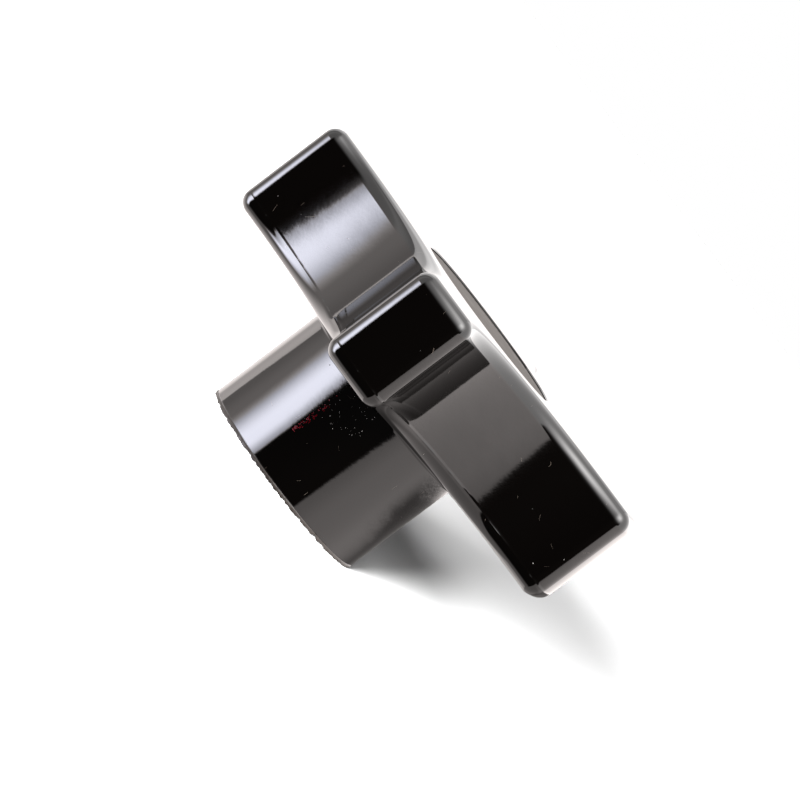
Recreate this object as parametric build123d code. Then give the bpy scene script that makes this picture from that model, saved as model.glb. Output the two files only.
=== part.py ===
"""Four-lobe wing nut: a glossy phenolic hand knob with a moulded-in brass bush and a snap-in centre cap.

Frame: origin at the centre of the hub's end, +Z along the screw axis from the hub towards the front face.
The lobes point along +X, +Y, -X and -Y. All sizes are in millimetres.
"""
from build123d import *
import math
import os

# Driving dimensions of the moulding
HEAD_DIA = 50.0          # across the rounded tips of opposite lobes
LOBES = 4
TIP_WIDTH = 8.0          # width of a lobe at its tip
WAIST_DIA = 26.6         # across the bottoms of opposite finger flutes
HUB_DIA = 21.8
HUB_LENGTH = 13.0        # from the hub's end to the back of the head
HEAD_THICKNESS = 12.7
EDGE_RADIUS = 1.5        # front and back edges of the head
TIP_EDGE_RADIUS = 1.6    # edges along the lobes' tips
HUB_ROOT_RADIUS = 0.4

# The lip left by the mould around the hub's end
LIP_HEIGHT = 0.25
LIP_WIDTH = 0.3

# M10 x 1.5 brass bush
THREAD_MINOR_DIA = 8.376
THREAD_MOUTH_DIA = 10.4
BUSH_LENGTH = 15.0
BUSH_DIA = 16.0          # over the knurl
BUSH_COLLAR_DIA = 15.0
BUSH_COLLAR_LENGTH = 1.0
BUSH_GROOVE_DIA = 13.2
BUSH_GROOVE_LENGTH = 2.6
KNURL_TEETH = 30
KNURL_DEPTH = 0.4
BUSH_TOP_CHAMFER = 0.5

# Snap-in centre cap and its seat in the front face
CAP_DIA = 18.8
CAP_CLEARANCE = 0.1      # radial, around the cap's rim
CAP_THICKNESS = 1.5
CAP_SETBACK = 0.2        # depth of the cap's face below the front face
CAP_EDGE_CHAMFER = 0.15
SPIGOT_DIA = 15.0
SPIGOT_WALL = 1.2
SPIGOT_LENGTH = 3.8
SPIGOT_CLEARANCE = 0.15  # radial
SPIGOT_END_GAP = 0.6     # from the fingers' ends to the bottom of their bore
BEAD_HEIGHT = 0.35       # how far the snap bead stands out of the spigot
BEAD_LENGTH = 1.0
BEAD_OFFSET = 0.4        # from the fingers' ends to the bead
BEAD_CLEARANCE = 0.15    # along the axis, to each side of the bead
SPIGOT_SLOTS = 2         # each slot is cut right across, so two slots leave four fingers
SPIGOT_SLOT_WIDTH = 1.6
RUN_OUT_DIA = 11.0       # clearance for the end of the bolt above the bush
SEAT_EDGE_CHAMFER = 0.12

FRONT_Z = HUB_LENGTH + HEAD_THICKNESS
CAP_TOP_Z = FRONT_Z - CAP_SETBACK
CAP_SEAT_Z = CAP_TOP_Z - CAP_THICKNESS
SPIGOT_END_Z = CAP_SEAT_Z - SPIGOT_LENGTH
SPIGOT_BORE_Z = SPIGOT_END_Z - SPIGOT_END_GAP
BEAD_Z = SPIGOT_END_Z + BEAD_OFFSET
BEAD_TOP_Z = BEAD_Z + BEAD_LENGTH
GROOVE_Z = (BUSH_COLLAR_LENGTH + BUSH_LENGTH - BUSH_GROOVE_LENGTH) / 2


def flute():
    """(distance of its centre from the axis, radius) of the arc from one lobe's tip to the next.

    The arc passes through both tips' corners and touches the waist circle half way between them.
    """
    half_pitch = math.pi / LOBES
    rim = HEAD_DIA / 2
    waist = WAIST_DIA / 2
    half_tip = TIP_WIDTH / 2
    corner_x = math.sqrt(rim**2 - half_tip**2)
    along = corner_x * math.cos(half_pitch) + half_tip * math.sin(half_pitch)
    centre = (rim**2 - waist**2) / (2 * (along - waist))
    return centre, centre - waist


def head_outline():
    """The star outline of the head: a disc with a round flute between each two lobes."""
    centre, radius = flute()
    outline = Circle(HEAD_DIA / 2)
    for i in range(LOBES):
        angle = math.pi * (2 * i + 1) / LOBES
        outline -= Pos(centre * math.cos(angle), centre * math.sin(angle)) * Circle(radius)
    return outline


def head():
    """The lobed head, with every edge rounded."""
    solid = Pos(0, 0, HUB_LENGTH) * extrude(head_outline(), HEAD_THICKNESS)
    tip_edges = solid.edges().filter_by(Axis.Z)
    solid = fillet(tip_edges, TIP_EDGE_RADIUS)
    back = solid.edges().group_by(Axis.Z)[0]
    front = solid.edges().group_by(Axis.Z)[-1]
    return fillet(list(back) + list(front), EDGE_RADIUS)


def disc(diameter, low, high):
    """A cylinder about the screw axis from z = low to z = high."""
    return Pos(0, 0, low) * Cylinder(diameter / 2, high - low, align=(Align.CENTER, Align.CENTER, Align.MIN))


def cone(low_diameter, high_diameter, low, high):
    """A truncated cone about the screw axis from z = low to z = high."""
    align = (Align.CENTER, Align.CENTER, Align.MIN)
    return Pos(0, 0, low) * Cone(low_diameter / 2, high_diameter / 2, high - low, align=align)


def knurled_band(low, high):
    """A length of straight knurling: V grooves cut along the bush."""
    pitch = 2 * math.pi / KNURL_TEETH
    crest, root = BUSH_DIA / 2, BUSH_DIA / 2 - KNURL_DEPTH
    points = []
    for i in range(KNURL_TEETH):
        points.append((crest * math.cos(i * pitch), crest * math.sin(i * pitch)))
        middle = (i + 0.5) * pitch
        points.append((root * math.cos(middle), root * math.sin(middle)))
    section = make_face(Polyline(*points, close=True))
    return Pos(0, 0, low) * extrude(section, high - low)


def bush_blank():
    """The outside of the brass bush, with no hole."""
    blank = disc(BUSH_COLLAR_DIA, 0, BUSH_COLLAR_LENGTH)
    blank += knurled_band(BUSH_COLLAR_LENGTH, GROOVE_Z)
    blank += disc(BUSH_GROOVE_DIA, GROOVE_Z, GROOVE_Z + BUSH_GROOVE_LENGTH)
    blank += knurled_band(GROOVE_Z + BUSH_GROOVE_LENGTH, BUSH_LENGTH)
    return blank


def threaded_insert():
    """The brass bush. Its hole has the thread's minor diameter, with a countersunk mouth."""
    mouth_depth = (THREAD_MOUTH_DIA - THREAD_MINOR_DIA) / 2
    top_dia = THREAD_MINOR_DIA + 2 * BUSH_TOP_CHAMFER
    bush = bush_blank() - disc(THREAD_MINOR_DIA, 0, BUSH_LENGTH)
    bush -= cone(THREAD_MOUTH_DIA, THREAD_MINOR_DIA, 0, mouth_depth)
    bush -= cone(THREAD_MINOR_DIA, top_dia, BUSH_LENGTH - BUSH_TOP_CHAMFER, BUSH_LENGTH)
    return bush


def cap_seat():
    """Everything removed from the head behind the centre cap."""
    seat_dia = CAP_DIA + 2 * CAP_CLEARANCE
    bore_dia = SPIGOT_DIA + 2 * SPIGOT_CLEARANCE
    groove_dia = bore_dia + 2 * BEAD_HEIGHT
    seat = disc(seat_dia, CAP_SEAT_Z, FRONT_Z)
    seat += cone(seat_dia, seat_dia + 2 * SEAT_EDGE_CHAMFER, FRONT_Z - SEAT_EDGE_CHAMFER, FRONT_Z)
    seat += disc(bore_dia, SPIGOT_BORE_Z, CAP_SEAT_Z)
    seat += disc(groove_dia, BEAD_Z - BEAD_CLEARANCE, BEAD_TOP_Z + BEAD_CLEARANCE)
    seat += disc(RUN_OUT_DIA, BUSH_LENGTH, SPIGOT_BORE_Z)
    return seat


def hub_root(body):
    """The round edge where the hub meets the back of the head."""
    near = 0.01
    circles = body.edges().filter_by(GeomType.CIRCLE)
    circles = circles.filter_by_position(Axis.Z, HUB_LENGTH - near, HUB_LENGTH + near)
    return [edge for edge in circles if abs(edge.radius - HUB_DIA / 2) < near]


def knob_body():
    """The phenolic moulding: hub and lobed head in one piece, moulded around the bush."""
    body = head() + disc(HUB_DIA, 0, HUB_LENGTH + EDGE_RADIUS)
    body = fillet(hub_root(body), HUB_ROOT_RADIUS)
    body -= disc(HUB_DIA - 2 * LIP_WIDTH, 0, LIP_HEIGHT)
    body -= bush_blank()
    return body - cap_seat()


def snap_fingers():
    """The cap's slotted spigot, with a snap bead round it."""
    bead_dia = SPIGOT_DIA + 2 * BEAD_HEIGHT
    bead_crest_z = (BEAD_Z + BEAD_TOP_Z) / 2
    spigot = disc(SPIGOT_DIA, SPIGOT_END_Z, CAP_SEAT_Z)
    spigot += cone(SPIGOT_DIA, bead_dia, BEAD_Z, bead_crest_z)
    spigot += cone(bead_dia, SPIGOT_DIA, bead_crest_z, BEAD_TOP_Z)
    spigot -= disc(SPIGOT_DIA - 2 * SPIGOT_WALL, SPIGOT_END_Z, CAP_SEAT_Z)
    slot = Pos(0, 0, (SPIGOT_END_Z + CAP_SEAT_Z) / 2) * Box(CAP_DIA, SPIGOT_SLOT_WIDTH, SPIGOT_LENGTH)
    for i in range(SPIGOT_SLOTS):
        spigot -= Rot(0, 0, 180 / LOBES + 180 * i / SPIGOT_SLOTS) * slot
    return spigot


def centre_cap():
    """The cap over the front of the hole: a disc with four snap fingers behind it."""
    cap = disc(CAP_DIA, CAP_SEAT_Z, CAP_TOP_Z)
    cap = chamfer(cap.edges().group_by(Axis.Z)[-1], CAP_EDGE_CHAMFER)
    return cap + snap_fingers()


NODES = {
    "knob_body": knob_body,
    "threaded_insert": threaded_insert,
    "centre_cap": centre_cap,
}

os.makedirs("parts", exist_ok=True)
for name, make in NODES.items():
    export_step(make(), f"parts/{name}.step")
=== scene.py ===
"""Looks for the four-lobe wing nut: glossy black phenolic, a brass bush and a satin centre cap.

The knob stands on its hub on a pale floor. Sizes are in metres, in the CAD model's frame, in which +Z is
the screw axis.
"""
import math

import bpy
import numpy as np
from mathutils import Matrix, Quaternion, Vector, noise


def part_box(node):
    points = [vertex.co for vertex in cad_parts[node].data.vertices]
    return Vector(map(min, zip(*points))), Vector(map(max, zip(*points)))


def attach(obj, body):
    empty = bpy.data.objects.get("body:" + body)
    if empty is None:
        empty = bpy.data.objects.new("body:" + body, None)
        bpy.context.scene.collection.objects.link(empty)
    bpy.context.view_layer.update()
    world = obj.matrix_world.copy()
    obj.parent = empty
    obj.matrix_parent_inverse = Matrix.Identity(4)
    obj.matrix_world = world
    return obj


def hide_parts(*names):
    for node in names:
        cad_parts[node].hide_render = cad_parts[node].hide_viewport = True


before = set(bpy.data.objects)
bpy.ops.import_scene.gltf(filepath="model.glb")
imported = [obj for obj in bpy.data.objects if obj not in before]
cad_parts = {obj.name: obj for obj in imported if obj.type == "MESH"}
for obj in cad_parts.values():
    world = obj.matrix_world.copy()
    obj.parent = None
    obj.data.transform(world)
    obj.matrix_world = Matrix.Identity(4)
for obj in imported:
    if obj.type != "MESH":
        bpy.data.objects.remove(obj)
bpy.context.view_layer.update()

MM = 0.001

# Sizes taken from the frame
HEAD_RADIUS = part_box("knob_body")[1].x
FRONT_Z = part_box("knob_body")[1].z
BUSH_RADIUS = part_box("threaded_insert")[1].x
BUSH_TOP_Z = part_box("threaded_insert")[1].z
CAP_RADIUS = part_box("centre_cap")[1].x
CAP_TOP_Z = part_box("centre_cap")[1].z
CAP_BOTTOM_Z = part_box("centre_cap")[0].z

# Sizes that repeat the CAD source
LOBES = 4
TIP_WIDTH = 8.0 * MM
WAIST_RADIUS = 13.3 * MM
HUB_RADIUS = 10.9 * MM
HEAD_BACK_Z = 13.0 * MM
EDGE_RADIUS = 1.5 * MM
TIP_EDGE_RADIUS = 1.6 * MM
HUB_ROOT_RADIUS = 0.4 * MM
LIP_HEIGHT = 0.25 * MM
LIP_WIDTH = 0.3 * MM
COLLAR_RADIUS = 7.5 * MM
COLLAR_LENGTH = 1.0 * MM
CAP_CLEARANCE = 0.1 * MM
CAP_THICKNESS = 1.5 * MM
SPIGOT_BORE_RADIUS = 7.65 * MM
SPIGOT_END_GAP = 0.6 * MM
RUN_OUT_RADIUS = 5.5 * MM
SEAT_CHAMFER = 0.12 * MM
THREAD_MINOR_RADIUS = 4.188 * MM
THREAD_PITCH = 1.5 * MM
THREAD_DEPTH = 0.85 * MM
THREAD_MOUTH_RADIUS = 5.2 * MM
BUSH_TOP_CHAMFER = 0.5 * MM
KNURL_TEETH = 30
KNURL_DEPTH = 0.4 * MM
GROOVE_RADIUS = 6.6 * MM
GROOVE_LENGTH = 2.6 * MM


# ---------------------------------------------------------------- meshes from rings of points

def ring_mesh(name, rings, closed=True, sharp_degrees=32):
    """A mesh whose quads join each ring of points to the next, and the last to the first when closed."""
    rings = np.array(rings)
    count, size = rings.shape[:2]
    here = np.arange(size)
    after = (here + 1) % size
    faces = []
    for i in range(count if closed else count - 1):
        j = (i + 1) % count
        faces.append(np.stack([i * size + here, i * size + after, j * size + after, j * size + here], axis=1))
    mesh = bpy.data.meshes.new(name)
    mesh.from_pydata(rings.reshape(-1, 3).tolist(), [], np.concatenate(faces).tolist())
    mesh.validate()
    for polygon in mesh.polygons:
        polygon.use_smooth = True
    mesh.set_sharp_from_angle(angle=math.radians(sharp_degrees))
    piece = bpy.data.objects.new(name, mesh)
    bpy.context.scene.collection.objects.link(piece)
    return piece


def level(points, z):
    """A ring of (x, y) points at height z, which is a number or one number for each point."""
    return np.column_stack([points, np.broadcast_to(z, len(points))])


def wobble(x, y, z, size, seed=0.0):
    """Smooth noise from -1 to 1 whose features are about size across."""
    return noise.noise(Vector((x, y, z)) / size + Vector((seed, seed * 0.7, seed * 1.3)))


# ---------------------------------------------------------------- knob body

class HeadOutline:
    """The star outline of the head: tip arcs and flutes joined by small round edges."""

    def __init__(self, tip_steps=12, edge_steps=20, flute_steps=80):
        half_pitch = math.pi / LOBES
        half_tip = TIP_WIDTH / 2
        corner_x = math.sqrt(HEAD_RADIUS**2 - half_tip**2)
        along = corner_x * math.cos(half_pitch) + half_tip * math.sin(half_pitch)
        self.flute_centre = (HEAD_RADIUS**2 - WAIST_RADIUS**2) / (2 * (along - WAIST_RADIUS))
        self.flute_radius = self.flute_centre - WAIST_RADIUS
        points, normals = [], []
        for lobe in range(LOBES):
            turn = 2 * math.pi * lobe / LOBES
            for point, normal in self.one_lobe(half_pitch, tip_steps, edge_steps, flute_steps):
                points.append(rotated(point, turn))
                normals.append(rotated(normal, turn))
        self.points = np.array(points)
        self.normals = np.array(normals)

    def one_lobe(self, half_pitch, tip_steps, edge_steps, flute_steps):
        """(point, outward normal) from the middle of the flute before a lobe to the middle of the next."""
        flute = self.flute_centre * unit(half_pitch)
        inner = HEAD_RADIUS - TIP_EDGE_RADIUS
        reach = self.flute_radius + TIP_EDGE_RADIUS
        cosine = (inner**2 + self.flute_centre**2 - reach**2) / (2 * inner * self.flute_centre)
        edge_angle = half_pitch - math.acos(cosine)
        centre = inner * unit(edge_angle)
        toward = flute - centre
        flank_angle = math.atan2(toward[1], toward[0])
        half = []
        for i in range(tip_steps):
            angle = edge_angle * i / tip_steps
            half.append((HEAD_RADIUS * unit(angle), unit(angle)))
        for i in range(edge_steps):
            angle = edge_angle + (flank_angle - edge_angle) * i / edge_steps
            half.append((centre + TIP_EDGE_RADIUS * unit(angle), unit(angle)))
        start = flank_angle + math.pi
        stop = half_pitch + math.pi
        for i in range(flute_steps + 1):
            angle = start + (stop - start) * i / flute_steps
            half.append((flute + self.flute_radius * unit(angle), -unit(angle)))
        mirrored = [(p * (1, -1), n * (1, -1)) for p, n in reversed(half[1:-1])]
        return mirrored + half

    def inset(self, distance):
        """The outline moved inwards by a distance."""
        return self.points - distance * self.normals

    def circle(self, radius):
        """A circle with its points at the outline's own polar angles."""
        return radius * self.points / np.linalg.norm(self.points, axis=1)[:, None]


def unit(angle):
    """The unit vector at an angle."""
    return np.array([math.cos(angle), math.sin(angle)])


def rotated(vector, angle):
    """A vector turned by an angle."""
    x, y = vector
    return np.array([x * math.cos(angle) - y * math.sin(angle), x * math.sin(angle) + y * math.cos(angle)])


PARTING_RIDGE_HEIGHT = 0.014 * MM
PARTING_RIDGE_HALF_WIDTH = 0.032 * MM
LIP_RAGGEDNESS = 0.35 * MM   # height of the crest's teeth
LIP_OVERHANG = 0.07 * MM     # how far the ragged crest leans out past the hub's wall, at most
LIP_SAG = 0.07 * MM          # how far the crest reaches below the bush's end, at most
LIP_BASE_Z = 0.36 * MM       # where the lip meets the hub's wall, in a fine groove
LIP_GROOVE_DEPTH = 0.04 * MM
LIP_GROOVE_LOW = 0.09 * MM   # the groove's reach below and above its deepest point
LIP_GROOVE_HIGH = 0.06 * MM
LIP_BEVEL = 0.05 * MM        # from the crest back to its outer edge
WALL_END_GAP = 0.05 * MM     # from a wall's last ring to the round edge beyond it
FACE_MARGIN = 0.1 * MM       # from a round edge to the first ring on the flat face
WALL_RINGS = 8               # on the hub's wall, and again on the head's
ROOT_STEPS = 8
EDGE_STEPS = 14


def hub_rings(outline):
    """The hub from its end face to the back of the head, with a ragged moulding lip round the end."""
    circle = outline.circle
    wall = circle(HUB_RADIUS)
    coarse = np.array([abs(wobble(x, y, 0, 0.9 * MM)) for x, y in wall])
    fine = np.array([abs(wobble(x, y, 0, 0.3 * MM, 5)) for x, y in wall])
    ragged = coarse + 0.6 * fine
    crest = np.clip(LIP_RAGGEDNESS * (ragged - 0.25), -LIP_SAG, 0.9 * LIP_HEIGHT)
    bead = wall * (1 + LIP_OVERHANG / HUB_RADIUS * np.clip(ragged - 0.2, 0, 1)[:, None])
    yield level(circle(COLLAR_RADIUS), LIP_HEIGHT)
    for widths_in, height in ((1.5, LIP_HEIGHT), (0.9, LIP_HEIGHT), (0.45, crest), (0.1, crest)):
        yield level(circle(HUB_RADIUS - widths_in * LIP_WIDTH), height)
    yield level(bead, crest + LIP_BEVEL)
    yield level(bead, LIP_BASE_Z - LIP_GROOVE_LOW)
    yield level(circle(HUB_RADIUS - LIP_GROOVE_DEPTH), LIP_BASE_Z)
    stop = HEAD_BACK_Z - HUB_ROOT_RADIUS
    for z in np.linspace(LIP_BASE_Z + LIP_GROOVE_HIGH, stop - WALL_END_GAP, WALL_RINGS):
        yield level(wall, z)
    for i in range(ROOT_STEPS + 1):
        angle = math.pi / 2 * i / ROOT_STEPS
        radius = HUB_RADIUS + HUB_ROOT_RADIUS * (1 - math.cos(angle))
        yield level(circle(radius), stop + HUB_ROOT_RADIUS * math.sin(angle))


def head_rings(outline):
    """The head from the hub's root to the seat of the cap: back face, rounded edges, wall and front face."""
    yield level(outline.circle(HUB_RADIUS + 1.2 * HUB_ROOT_RADIUS), HEAD_BACK_Z)
    yield level(outline.inset(EDGE_RADIUS + FACE_MARGIN), HEAD_BACK_Z)
    back = HEAD_BACK_Z + EDGE_RADIUS
    front = FRONT_Z - EDGE_RADIUS
    for i in range(EDGE_STEPS):
        angle = math.pi / 2 * i / EDGE_STEPS
        inset = EDGE_RADIUS * (1 - math.sin(angle))
        yield level(outline.inset(inset), back - EDGE_RADIUS * math.cos(angle))
    yield from parting_rings(outline, back)
    for z in np.linspace(back + 0.3 * MM, front - WALL_END_GAP, WALL_RINGS):
        yield level(outline.points, z)
    for i in range(EDGE_STEPS + 1):
        angle = math.pi / 2 * i / EDGE_STEPS
        inset = EDGE_RADIUS * (1 - math.cos(angle))
        yield level(outline.inset(inset), front + EDGE_RADIUS * math.sin(angle))
    yield level(outline.inset(EDGE_RADIUS + FACE_MARGIN), FRONT_Z)


def parting_rings(outline, z):
    """The fine uneven ridge where the mould's halves met."""
    long_wave = 2.5 * MM
    short_wave = 0.5 * MM
    height = []
    for x, y in outline.points:
        swell = 0.5 + 0.5 * wobble(x, y, z, long_wave, 3) + 0.5 * wobble(x, y, z, short_wave, 8)
        height.append(PARTING_RIDGE_HEIGHT * max(0.2, swell))
    crest = outline.points + np.array(height)[:, None] * outline.normals
    yield level(outline.points, z)
    yield level(crest, z + PARTING_RIDGE_HALF_WIDTH)
    yield level(outline.points, z + 2 * PARTING_RIDGE_HALF_WIDTH)


def seat_rings(outline):
    """The hidden inside, from the edge of the cap's seat down to the bush and back to the hub's end."""
    seat_radius = CAP_RADIUS + CAP_CLEARANCE
    seat_z = CAP_TOP_Z - CAP_THICKNESS
    bore_z = CAP_BOTTOM_Z - SPIGOT_END_GAP
    profile = [
        (seat_radius + 3 * SEAT_CHAMFER, FRONT_Z),
        (seat_radius + SEAT_CHAMFER, FRONT_Z),
        (seat_radius, FRONT_Z - SEAT_CHAMFER),
        (seat_radius, seat_z),
        (SPIGOT_BORE_RADIUS, seat_z),
        (SPIGOT_BORE_RADIUS, bore_z),
        (RUN_OUT_RADIUS, bore_z),
        (RUN_OUT_RADIUS, BUSH_TOP_Z),
        (BUSH_RADIUS, BUSH_TOP_Z),
        (BUSH_RADIUS, COLLAR_LENGTH),
        (COLLAR_RADIUS, COLLAR_LENGTH),
    ]
    for radius, z in profile:
        yield level(outline.circle(radius), z)


def knob_body():
    """The phenolic moulding: one closed skin through the hub, the head and the cap's seat."""
    outline = HeadOutline()
    rings = [*hub_rings(outline), *head_rings(outline), *seat_rings(outline)]
    piece = ring_mesh("knob_moulding", rings)
    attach(piece, "root")
    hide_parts("knob_body")
    return piece


# ---------------------------------------------------------------- brass bush

THREAD_STEEPNESS = 1.35      # of the groove's flanks
THREAD_CREST_CUT = 0.25      # widens the flat crests
THREAD_RING_SPACING = 0.0625 * MM
THREAD_FIRST_Z = 0.05 * MM
THREAD_END_GAP = 0.04 * MM
BUSH_END_CHAMFER = 0.15 * MM
KNURL_TOP_SCALE = 0.98       # how far the knurl draws in at its top


def round_ring(radius, z, count):
    """A ring of points on a circle about the screw axis."""
    angles = 2 * math.pi * np.arange(count) / count
    return level(np.column_stack([radius * np.cos(angles), radius * np.sin(angles)]), z)


def thread_radius(angle, z):
    """The distance from the axis to the wall of an M10 thread, with flat crests and V-shaped grooves."""
    turn = (z / THREAD_PITCH - angle / (2 * math.pi)) % 1.0
    groove = np.clip(THREAD_STEEPNESS * (1 - np.abs(2 * turn - 1)) - THREAD_CREST_CUT, 0, 1)
    return THREAD_MINOR_RADIUS + THREAD_DEPTH * groove


def bush_rings(count=180):
    """The bush from its mouth up the threaded hole, over the top and down the knurled outside."""
    angles = 2 * math.pi * np.arange(count) / count
    mouth_depth = THREAD_MOUTH_RADIUS - THREAD_MINOR_RADIUS
    yield round_ring(COLLAR_RADIUS - BUSH_END_CHAMFER, 0, count)
    yield round_ring(THREAD_MOUTH_RADIUS, 0, count)
    for z in np.arange(THREAD_FIRST_Z, BUSH_TOP_Z - THREAD_END_GAP, THREAD_RING_SPACING):
        mouth = THREAD_MOUTH_RADIUS - z
        top = THREAD_MINOR_RADIUS + BUSH_TOP_CHAMFER - (BUSH_TOP_Z - z)
        radius = np.maximum(thread_radius(angles, z), max(mouth, top))
        if z > BUSH_TOP_Z - BUSH_TOP_CHAMFER or z < mouth_depth:
            radius = np.minimum(radius, max(mouth, top, THREAD_MINOR_RADIUS) + THREAD_DEPTH)
        yield level(np.column_stack([radius * np.cos(angles), radius * np.sin(angles)]), z)
    yield round_ring(THREAD_MINOR_RADIUS + THREAD_DEPTH, BUSH_TOP_Z, count)
    groove_low = (COLLAR_LENGTH + BUSH_TOP_Z - GROOVE_LENGTH) / 2
    groove_high = groove_low + GROOVE_LENGTH
    tooth = np.abs((angles * KNURL_TEETH / (2 * math.pi) + 0.5) % 1.0 - 0.5) * 2
    knurl = BUSH_RADIUS - KNURL_DEPTH * tooth
    knurled = np.column_stack([knurl * np.cos(angles), knurl * np.sin(angles)])
    yield level(KNURL_TOP_SCALE * knurled, BUSH_TOP_Z)
    yield level(knurled, BUSH_TOP_Z - BUSH_END_CHAMFER)
    yield level(knurled, groove_high)
    yield round_ring(GROOVE_RADIUS, groove_high, count)
    yield round_ring(GROOVE_RADIUS, groove_low, count)
    yield level(knurled, groove_low)
    yield level(knurled, COLLAR_LENGTH)
    yield round_ring(COLLAR_RADIUS, COLLAR_LENGTH, count)
    yield round_ring(COLLAR_RADIUS, BUSH_END_CHAMFER, count)


def threaded_bush():
    """The brass bush: one closed skin with a helical thread inside and knurling outside."""
    piece = ring_mesh("threaded_bush", list(bush_rings()), sharp_degrees=24)
    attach(piece, "root")
    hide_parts("threaded_insert")
    return piece


# ---------------------------------------------------------------- node helpers

class Graph:
    """Short names for building a node tree."""

    def __init__(self, owner):
        owner.use_nodes = True
        self.tree = owner.node_tree
        self.tree.nodes.clear()

    def node(self, kind, inputs=None, **settings):
        """A new node with its inputs, by number or name, set to values or joined to other nodes."""
        made = self.tree.nodes.new(kind)
        for key, value in settings.items():
            setattr(made, key, value)
        for key, value in (inputs or {}).items():
            self.feed(made.inputs[key], value)
        return made

    def feed(self, socket, value):
        """Joins a socket to another node's output, or gives it a value."""
        if isinstance(value, bpy.types.NodeSocket):
            self.tree.links.new(value, socket)
        else:
            socket.default_value = value

    def math(self, operation, *values):
        """The output of a math node."""
        return self.node("ShaderNodeMath", dict(enumerate(values)), operation=operation).outputs[0]

    def ramp(self, value, low, high, start=0.0, stop=1.0):
        """start below low, stop above high, and smooth between them."""
        inputs = {0: value, 1: low, 2: high, 3: start, 4: stop}
        return self.node("ShaderNodeMapRange", inputs, interpolation_type="SMOOTHSTEP").outputs[0]

    def mix(self, factor, a, b):
        """a where factor is 0 and b where it is 1, for numbers."""
        return self.node("ShaderNodeMix", {0: factor, 2: a, 3: b}, data_type="FLOAT").outputs[0]

    def blend(self, factor, a, b):
        """a where factor is 0 and b where it is 1, for colours."""
        return self.node("ShaderNodeMix", {0: factor, 6: a, 7: b}, data_type="RGBA").outputs[2]


def grey(value):
    """An opaque grey."""
    return (value, value, value, 1.0)


def window(g, value, low, high, soft_low, soft_high):
    """1 between low and high, falling to 0 over the soft widths outside them."""
    rise = g.ramp(value, low - soft_low, low)
    fall = g.ramp(value, high, high + soft_high, 1.0, 0.0)
    return g.math("MULTIPLY", rise, fall)


def product(g, *masks):
    """All the masks multiplied together."""
    result = masks[0]
    for mask in masks[1:]:
        result = g.math("MULTIPLY", result, mask)
    return result


# ---------------------------------------------------------------- materials

def in_millimetres(g):
    """The surface point in the object's own frame, in millimetres."""
    place = g.node("ShaderNodeTexCoord").outputs["Object"]
    return g.node("ShaderNodeVectorMath", {0: place, 3: 1 / MM}, operation="SCALE").outputs[0]


def noise_at(g, place, scale, detail=2.0):
    """Smooth noise from 0 to 1. The scale is the number of its features in a unit of length."""
    return g.node("ShaderNodeTexNoise", {"Vector": place, "Scale": scale, "Detail": detail}).outputs[0]


def specks(g, place, spacing, radius, share):
    """(mask, random number) of small dots: one in each cell of a grid, kept in a share of the cells."""
    inputs = {"Vector": place, "Scale": 1 / spacing}
    cells = g.node("ShaderNodeTexVoronoi", inputs).outputs
    chance = g.node("ShaderNodeSeparateXYZ", {0: cells["Color"]}).outputs
    size = g.math("MULTIPLY", chance[1], radius / spacing)
    near = g.math("LESS_THAN", cells["Distance"], size)
    kept = g.math("LESS_THAN", chance[0], share)
    return g.math("MULTIPLY", near, kept), chance[2]


def around(g, place, centre, inner, outer):
    """1 near a point, falling to 0 between the inner and outer distances."""
    distance = g.node("ShaderNodeVectorMath", {0: place, 1: centre}, operation="DISTANCE").outputs["Value"]
    return g.ramp(distance, inner, outer, 1.0, 0.0)


# Colours of the phenolic and of what lies on it
PHENOLIC = (0.0008, 0.0004, 0.0002, 1)
BROKEN_LIP = (0.06, 0.048, 0.04, 1)
FIBRE = (0.11, 0.09, 0.075, 1)
RED_PIGMENT = (0.3, 0.0, 0.012, 1)
DUST = (0.9, 0.87, 0.83, 1)

PHENOLIC_IOR = 1.6
POLISHED_ROUGHNESS = 0.04
SMEAR_ROUGHNESS = 0.02       # added in the smears
MARKED_ROUGHNESS = 0.5       # of dust and of the broken lip

# Heights of the phenolic's relief, in millimetres
PEEL_HEIGHT = 0.0009
WAVE_HEIGHT = 0.004
LIP_GRAIN_HEIGHT = 0.03

# Places on the hub's wall, in millimetres
DUST_PATCH = (10.75, 0.7, 10.3)
RED_STREAK_Y = -1.4
LIP_TOP_Z = 0.3
LIP_FADE_Z = 0.42            # where the lip's roughness has gone

# Spacing and largest radius of the specks, in millimetres
DUST_SPACING = 0.3
DUST_RADIUS = 0.075
DUST_SHARE = 0.004           # share of the cells with a speck, away from the patch
FLECK_SPACING = 0.24
FLECK_RADIUS = 0.19

# The hairs follow one level of a noise, where a second noise is high
HAIR_SHIFT = (17.0, 5.0, 9.0)
HAIR_LEVEL = 0.52
HAIR_HALF_WIDTH = 0.0035
HAIR_PATCH_LEVEL = 0.735


def red_streak(g, axes):
    """1 along a short line on the hub, where red pigment flecks gather."""
    side = g.math("ABSOLUTE", g.math("SUBTRACT", axes[1], RED_STREAK_Y))
    along = window(g, axes[2], 5, 8.2, 0.5, 3.0)
    return product(g, g.ramp(side, 0.15, 0.4, 1.0, 0.0), g.ramp(axes[0], 10.0, 10.3), along)


def hairs(g, place):
    """Thin curved lines, scattered: fibres and fine scratches."""
    shifted = g.node("ShaderNodeVectorMath", {0: place, 1: HAIR_SHIFT}, operation="ADD").outputs[0]
    lines = noise_at(g, shifted, 0.33, 0.0)
    thin = g.math("LESS_THAN", g.math("ABSOLUTE", g.math("SUBTRACT", lines, HAIR_LEVEL)), HAIR_HALF_WIDTH)
    patches = g.math("GREATER_THAN", noise_at(g, place, 0.8, 0.0), HAIR_PATCH_LEVEL)
    return g.math("MULTIPLY", thin, patches)


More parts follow.
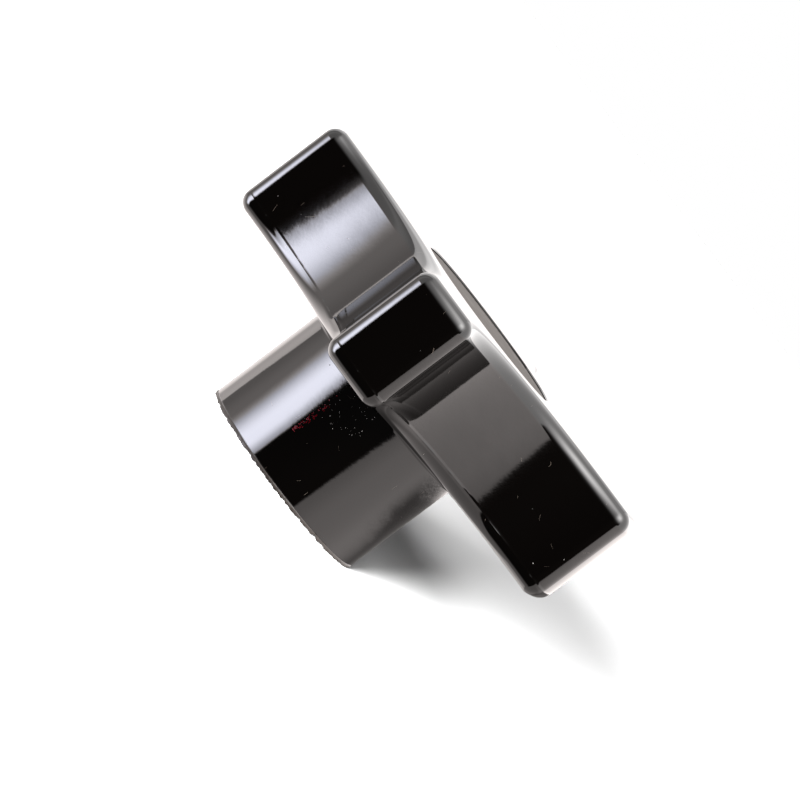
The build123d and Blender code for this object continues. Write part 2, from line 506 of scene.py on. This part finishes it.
def phenolic_relief(g, place, lip):
    """Fine grain, soft waves and a rough lip, as one bumped normal."""
    peel = g.math("MULTIPLY", noise_at(g, place, 3.0, 3.0), PEEL_HEIGHT)
    waves = g.math("MULTIPLY", noise_at(g, place, 0.45, 1.0), WAVE_HEIGHT)
    rough = g.math("MULTIPLY", g.math("MULTIPLY", noise_at(g, place, 5.0, 3.0), LIP_GRAIN_HEIGHT), lip)
    relief = g.math("ADD", g.math("ADD", peel, waves), rough)
    return g.node("ShaderNodeBump", {"Height": relief, "Distance": MM, "Strength": 1.0}).outputs[0]


def phenolic_material():
    """Polished black phenolic: faint waviness, a rough moulding lip, dust, red flecks and fine hairs."""
    material = bpy.data.materials.new("black_phenolic")
    g = Graph(material)
    place = in_millimetres(g)
    axes = g.node("ShaderNodeSeparateXYZ", {0: place}).outputs
    lip = g.ramp(axes[2], LIP_TOP_Z, LIP_FADE_Z, 1.0, 0.0)
    patch = around(g, place, DUST_PATCH, 1.2, 3.4)
    dust, shade = specks(g, place, DUST_SPACING, DUST_RADIUS, g.math("ADD", DUST_SHARE, patch))
    flecks, _ = specks(g, place, FLECK_SPACING, FLECK_RADIUS, red_streak(g, axes))
    colour = g.blend(lip, PHENOLIC, BROKEN_LIP)
    colour = g.blend(hairs(g, place), colour, FIBRE)
    colour = g.blend(flecks, colour, RED_PIGMENT)
    colour = g.blend(g.math("MULTIPLY", dust, shade), colour, DUST)
    marks = g.math("MAXIMUM", g.math("MAXIMUM", lip, dust), g.math("MULTIPLY", flecks, 0.3))
    smear = g.math("MULTIPLY", noise_at(g, place, 0.3, 2.0), SMEAR_ROUGHNESS)
    shader = g.node("ShaderNodeBsdfPrincipled", {
        "Base Color": colour,
        "Roughness": g.mix(marks, g.math("ADD", POLISHED_ROUGHNESS, smear), MARKED_ROUGHNESS),
        "IOR": PHENOLIC_IOR,
        "Normal": phenolic_relief(g, place, lip),
    })
    g.node("ShaderNodeOutputMaterial", {"Surface": shader.outputs[0]})
    return material


DARK_BRASS = (0.60, 0.41, 0.16, 1)
LIGHT_BRASS = (0.80, 0.58, 0.26, 1)
TARNISHED_BRASS = (0.36, 0.21, 0.08, 1)
BRASS_ROUGHNESS = 0.24
TARNISH_ROUGHNESS = 0.42
TURNING_HEIGHT = 0.012       # millimetres


def brass_material():
    """Machined brass: fine turning marks round the axis and brown tarnish in patches."""
    material = bpy.data.materials.new("machined_brass")
    g = Graph(material)
    place = in_millimetres(g)
    axes = g.node("ShaderNodeSeparateXYZ", {0: place}).outputs
    radius = g.math("SQRT", g.math("ADD", g.math("POWER", axes[0], 2.0), g.math("POWER", axes[1], 2.0)))
    track = g.node("ShaderNodeCombineXYZ", {0: radius, 1: axes[2]}).outputs[0]
    turning = noise_at(g, track, 9.0, 2.0)
    tarnish = g.ramp(noise_at(g, place, 0.5, 4.0), 0.42, 0.68)
    relief = g.math("MULTIPLY", turning, TURNING_HEIGHT)
    bump = g.node("ShaderNodeBump", {"Height": relief, "Distance": MM, "Strength": 1.0}).outputs[0]
    bright = g.blend(turning, DARK_BRASS, LIGHT_BRASS)
    shader = g.node("ShaderNodeBsdfPrincipled", {
        "Base Color": g.blend(tarnish, bright, TARNISHED_BRASS),
        "Metallic": 1.0,
        "Roughness": g.mix(tarnish, BRASS_ROUGHNESS, TARNISH_ROUGHNESS),
        "Normal": bump,
    })
    g.node("ShaderNodeOutputMaterial", {"Surface": shader.outputs[0]})
    return material


DARK_CAP = (0.040, 0.033, 0.028, 1)
LIGHT_CAP = (0.058, 0.049, 0.042, 1)
CAP_IOR = 1.22
CAP_ROUGHNESS = 0.6
RUBBED_ROUGHNESS = 0.53
CAP_GRAIN_HEIGHT = 0.01      # millimetres


def cap_material():
    """Satin black moulded cap with a fine grain and a few rubbed patches."""
    material = bpy.data.materials.new("satin_cap")
    g = Graph(material)
    place = in_millimetres(g)
    grain = noise_at(g, place, 4.0, 3.0)
    rubbed = g.ramp(noise_at(g, place, 0.25, 3.0), 0.45, 0.7)
    relief = g.math("MULTIPLY", grain, CAP_GRAIN_HEIGHT)
    bump = g.node("ShaderNodeBump", {"Height": relief, "Distance": MM, "Strength": 1.0}).outputs[0]
    shader = g.node("ShaderNodeBsdfPrincipled", {
        "Base Color": g.blend(grain, DARK_CAP, LIGHT_CAP),
        "Roughness": g.mix(rubbed, CAP_ROUGHNESS, RUBBED_ROUGHNESS),
        "IOR": CAP_IOR,
        "Normal": bump,
    })
    g.node("ShaderNodeOutputMaterial", {"Surface": shader.outputs[0]})
    return material


FLOOR_ALBEDO = 0.14          # low, so that the room's own light hardly fills the shadow
FLOOR_MOTTLE = 0.03          # share by which the albedo varies


def floor_material():
    """A matt floor with a barely visible mottle, which the two low lights make pale."""
    material = bpy.data.materials.new("pale_floor")
    g = Graph(material)
    place = g.node("ShaderNodeTexCoord").outputs["Object"]
    mottle = noise_at(g, place, 8.0, 2.0)
    colour = g.blend(mottle, grey(FLOOR_ALBEDO * (1 - FLOOR_MOTTLE)), grey(FLOOR_ALBEDO * (1 + FLOOR_MOTTLE)))
    shader = g.node("ShaderNodeBsdfDiffuse", {"Color": colour})
    g.node("ShaderNodeOutputMaterial", {"Surface": shader.outputs[0]})
    return material


# ---------------------------------------------------------------- studio

# Directions are azimuths, from +X towards +Y, and elevations, both in degrees. A brightness of 1 is the white
# that the camera sees behind the knob.
OVERHEAD = 2.3               # straight up
UNDER_PANEL = 2.35           # the floor below the lit panel
LEFT_SOFTBOX = 14.7
CAMERA_SIDE = 0.03
SHADED_FLOOR = 0.2
ROOM_FILL = 0.12             # share of the room's light that matt surfaces receive
BEHIND_GAIN = 1.18           # extra light from above the horizon behind the knob

# Brightness of the walls, and of the floor in front of them
WALL = 1.2
WALL_FLOOR = 0.95
PLUS_Y_WALL_FOOT = 1.62
PLUS_Y_WALL = 2.1
PLUS_Y_WALL_TOP = 2.3
PLUS_Y_FLOOR = 1.0
PLUS_Y_DIM_END = 0.75        # share that is left at the wall's end nearest to +X

# Brightness of the lit panel behind on the -Y side, of a strip on it, and of the gap in front of it. The
# near ends are the ones towards the camera.
PANEL_NEAR = 2.35
PANEL_FAR = 1.3
PANEL_STRIP = 1.8
PANEL_STRIP_FADE = 1.05      # what the strip fades to, which is hidden under the panel's own light
GAP_NEAR = 1.5
GAP_FAR = 0.62

# Tints of the light
WARM_LIGHT = (1.07, 0.99, 0.965, 1)
NEUTRAL_LIGHT = (1.02, 1.0, 0.995, 1)
BLUE_LIGHT = (0.975, 0.985, 1.12, 1)


def walls(g, azimuth, elevation):
    """White paper all round, brighter on the +Y side, with a lit panel behind on the -Y side."""
    above_floor = g.ramp(elevation, -25, -8)
    plus_y = g.mix(g.ramp(elevation, -4.7, -3.0), PLUS_Y_WALL_FOOT, PLUS_Y_WALL)
    plus_y = g.math("MULTIPLY", plus_y, g.ramp(azimuth, 40, 68, PLUS_Y_DIM_END, 1.0))
    plus_y = g.mix(g.ramp(elevation, -2, 6), plus_y, PLUS_Y_WALL_TOP)
    plus_y = g.mix(above_floor, PLUS_Y_FLOOR, plus_y)
    paper = g.mix(g.ramp(azimuth, 30, 42), g.mix(above_floor, WALL_FLOOR, WALL), plus_y)
    gap = g.ramp(azimuth, -116, -80, GAP_FAR, GAP_NEAR)
    panel = g.ramp(azimuth, -137, -116, PANEL_FAR, PANEL_NEAR)
    strip = g.mix(window(g, azimuth, -148, -143, 18, 9), PANEL_STRIP_FADE, PANEL_STRIP)
    edge = g.ramp(elevation, -6.2, -4.9, -117.5, -113)
    past = g.ramp(g.math("SUBTRACT", azimuth, edge), -0.6, 0.6)
    behind = g.mix(past, g.math("MAXIMUM", panel, strip), gap)
    minus_y = g.math("MULTIPLY", g.ramp(azimuth, -84, -76, 1.0, 0.0), above_floor)
    return g.mix(minus_y, paper, behind)


def left_softbox(g, azimuth, elevation):
    """The large softbox low on the -Y side: how much of it shows in each direction."""
    upper_edge = g.ramp(elevation, -6.0, -3.4, -28.4, -39.3)
    lower_edge = g.ramp(elevation, -45, -7, -40, -28.4)
    edge = g.math("MINIMUM", upper_edge, lower_edge)
    depth = g.math("SUBTRACT", edge, azimuth)
    right = g.math("ADD", g.ramp(depth, 0, 3, 0.0, 0.35), g.ramp(depth, 1, 15, 0.0, 0.65))
    bulge = window(g, elevation, -4.4, -4.4, 1.7, 1.1)
    shift = g.math("ADD", g.math("MULTIPLY", bulge, 3.0), g.ramp(elevation, -20, -8, 4, 0))
    left = g.ramp(g.math("ADD", azimuth, shift), -85, -51)
    return product(g, right, left, g.ramp(elevation, -4.9, -0.2, 1.0, 0.0), g.ramp(elevation, -62, -46))


def glow(g, direction, azimuth, elevation, spread):
    """A round soft light: 1 at its middle, falling like a bell over the spread. Angles in degrees."""
    turn, tilt = math.radians(azimuth), math.radians(elevation)
    centre = (math.cos(tilt) * math.cos(turn), math.cos(tilt) * math.sin(turn), math.sin(tilt))
    inputs = {0: direction, 1: centre}
    distance = g.node("ShaderNodeVectorMath", inputs, operation="DISTANCE").outputs["Value"]
    square = g.math("POWER", g.math("DIVIDE", distance, math.radians(spread)), 2.0)
    return g.math("EXPONENT", g.math("MULTIPLY", square, -1.0))


# Soft lights overhead: azimuth, elevation and spread in degrees, and brightness
UPPER_LIGHTS = (
    (27, 50, 20, 9.6),
    (-10, 66, 13, 3.3),
    (-150, 47, 20, 1.4),
)


def camera_side(g, azimuth, elevation):
    """The dark part of the room, behind the camera."""
    edge = g.math("ADD", g.ramp(elevation, -6.6, -2.9, 39.5, 50), g.ramp(elevation, -3, 6, 0, 10))
    right = g.ramp(g.math("SUBTRACT", azimuth, edge), -1.5, 1.5, 1.0, 0.0)
    left = g.ramp(azimuth, -46, -33)
    return product(g, right, left, g.ramp(elevation, -74, -58), g.ramp(elevation, 8, 35, 1.0, 0.0))


def shaded_floor(g, azimuth, elevation):
    """The shadow under and behind the knob, seen in the hub."""
    start = g.ramp(elevation, -6.1, -5.2, 106, 97)
    stop = g.ramp(elevation, -6.1, -5.2, 160, 128)
    turned = g.math("FLOORED_MODULO", azimuth, 360.0)
    along = g.math("DIVIDE", g.math("SUBTRACT", turned, start), g.math("SUBTRACT", stop, start))
    behind = g.ramp(turned, 188.0, 190.5, 1.0, 0.0)
    return product(g, g.ramp(along, 0, 1), behind, window(g, elevation, -24, -5.1, 16, 0.4))


def studio_world():
    """A white room with a softbox, soft lights overhead and a dark side; the camera itself sees white."""
    world = bpy.data.worlds.new("studio")
    bpy.context.scene.world = world
    g = Graph(world)
    direction = g.node("ShaderNodeTexCoord").outputs["Generated"]
    axes = g.node("ShaderNodeSeparateXYZ", {0: direction}).outputs
    azimuth = g.math("DEGREES", g.math("ARCTAN2", axes[1], axes[0]))
    elevation = g.math("DEGREES", g.math("ARCSINE", axes[2]))
    value = walls(g, azimuth, elevation)
    value = g.mix(g.ramp(elevation, 66, 76), value, OVERHEAD)
    under = product(g, g.ramp(azimuth, -128, -75, 1.0, 0.0), g.ramp(elevation, -26, -12, 1.0, 0.0))
    value = g.mix(under, value, UNDER_PANEL)
    behind = g.math("MULTIPLY", g.ramp(axes[0], -0.85, -0.3, 1.0, 0.0), g.ramp(elevation, -3, 2))
    value = g.math("MULTIPLY", value, g.mix(behind, 1.0, BEHIND_GAIN))
    value = g.mix(camera_side(g, azimuth, elevation), value, CAMERA_SIDE)
    value = g.mix(shaded_floor(g, azimuth, elevation), value, SHADED_FLOOR)
    for light_azimuth, light_elevation, spread, brightness in UPPER_LIGHTS:
        light = glow(g, direction, light_azimuth, light_elevation, spread)
        value = g.math("ADD", value, g.math("MULTIPLY", light, brightness))
    left = left_softbox(g, azimuth, elevation)
    value = g.mix(left, value, LEFT_SOFTBOX)
    room_tint = g.blend(g.ramp(elevation, -3, 12), WARM_LIGHT, NEUTRAL_LIGHT)
    tint = g.blend(g.ramp(left, 0.0, 0.4), room_tint, BLUE_LIGHT)
    ray = g.node("ShaderNodeLightPath").outputs
    value = g.math("MULTIPLY", value, g.mix(ray["Is Diffuse Ray"], 1.0, ROOM_FILL))
    studio = g.node("ShaderNodeBackground", {"Color": tint, "Strength": value}).outputs[0]
    backdrop = g.node("ShaderNodeBackground", {"Color": grey(1.0), "Strength": 1.0}).outputs[0]
    both = g.node("ShaderNodeMixShader", {0: ray["Is Camera Ray"], 1: studio, 2: backdrop}).outputs[0]
    g.node("ShaderNodeOutputWorld", {"Surface": both})


# Soft low lights that reach only the floor: azimuth, elevation and angular size in degrees, and the
# brightness that each gives to the floor
SHADOW_LIGHTS = {
    "low_light": (-0.8, 3.6, 9.2, 1.28),
    "high_light": (0.4, 13.0, 28.0, 0.57),
}

FLOOR_HALF_WIDTH = 6.0
FLOOR_Z = -0.08 * MM         # just under the lip's lowest point


def floor():
    """A wide pale floor under the hub's end, seen only by the camera."""
    half = FLOOR_HALF_WIDTH
    mesh = bpy.data.meshes.new("floor")
    corners = [(-half, -half, 0), (half, -half, 0), (half, half, 0), (-half, half, 0)]
    mesh.from_pydata(corners, [], [(0, 1, 2, 3)])
    mesh.materials.append(floor_material())
    made = bpy.data.objects.new("floor", mesh)
    bpy.context.scene.collection.objects.link(made)
    made.location.z = FLOOR_Z
    made.visible_glossy = False
    made.visible_diffuse = False
    return made


def shadow_light(name, azimuth, elevation, size, brightness, receivers):
    """A sun that lights only the receivers, with the brightness it gives to the flat floor."""
    data = bpy.data.lights.new(name, "SUN")
    data.angle = math.radians(size)
    data.energy = brightness * math.pi / (FLOOR_ALBEDO * math.sin(math.radians(elevation)))
    light = bpy.data.objects.new(name, data)
    bpy.context.scene.collection.objects.link(light)
    turn = Quaternion((0, 0, 1), math.radians(azimuth + 90))
    tilt = Quaternion((1, 0, 0), math.radians(90 - elevation))
    light.rotation_mode = "QUATERNION"
    light.rotation_quaternion = turn @ tilt
    light.visible_glossy = False
    light.light_linking.receiver_collection = receivers


CAMERA_AZIMUTH = 9.45        # degrees from +X towards +Y
CAMERA_DISTANCE = 457.67 * MM  # from the screw axis
CAMERA_HEIGHT = 50.91 * MM
CAMERA_AIM = (-1.23 * MM, 0.53 * MM, 14.0 * MM)
CAMERA_ROLL = 53.0
CAMERA_LENS = 208.8
CAMERA_SENSOR = 36.0


def camera():
    """A long lens, almost square to the screw axis, rolled so that the knob leans."""
    data = bpy.data.cameras.new("camera")
    data.lens = CAMERA_LENS
    data.sensor_width = CAMERA_SENSOR
    data.clip_start = 0.01
    data.clip_end = 50.0
    made = bpy.data.objects.new("camera", data)
    bpy.context.scene.collection.objects.link(made)
    azimuth = math.radians(CAMERA_AZIMUTH)
    place = Vector((CAMERA_DISTANCE * math.cos(azimuth), CAMERA_DISTANCE * math.sin(azimuth), CAMERA_HEIGHT))
    look = (Vector(CAMERA_AIM) - place).to_track_quat("-Z", "Y")
    made.location = place
    made.rotation_mode = "QUATERNION"
    made.rotation_quaternion = look @ Quaternion((0, 0, 1), math.radians(CAMERA_ROLL))
    bpy.context.scene.camera = made


# ---------------------------------------------------------------- scene

body = knob_body()
body.data.materials.append(phenolic_material())
bush = threaded_bush()
bush.data.materials.append(brass_material())
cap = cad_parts["centre_cap"]
cap.data.materials.clear()
cap.data.materials.append(cap_material())

camera()
studio_world()
lit = bpy.data.collections.new("lit_by_shadow_lights")
lit.objects.link(floor())
for light_name, light_values in SHADOW_LIGHTS.items():
    shadow_light(light_name, *light_values, lit)

# A ray that skims along a flute is reflected many times, and ending such faint paths at random leaves dots
MOST_BOUNCES = 48
BOUNCES_BEFORE_CHANCE = 32
scene = bpy.context.scene
scene.cycles.max_bounces = MOST_BOUNCES
scene.cycles.glossy_bounces = MOST_BOUNCES
scene.cycles.min_light_bounces = BOUNCES_BEFORE_CHANCE
scene.view_settings.view_transform = "Standard"
scene.view_settings.look = "None"
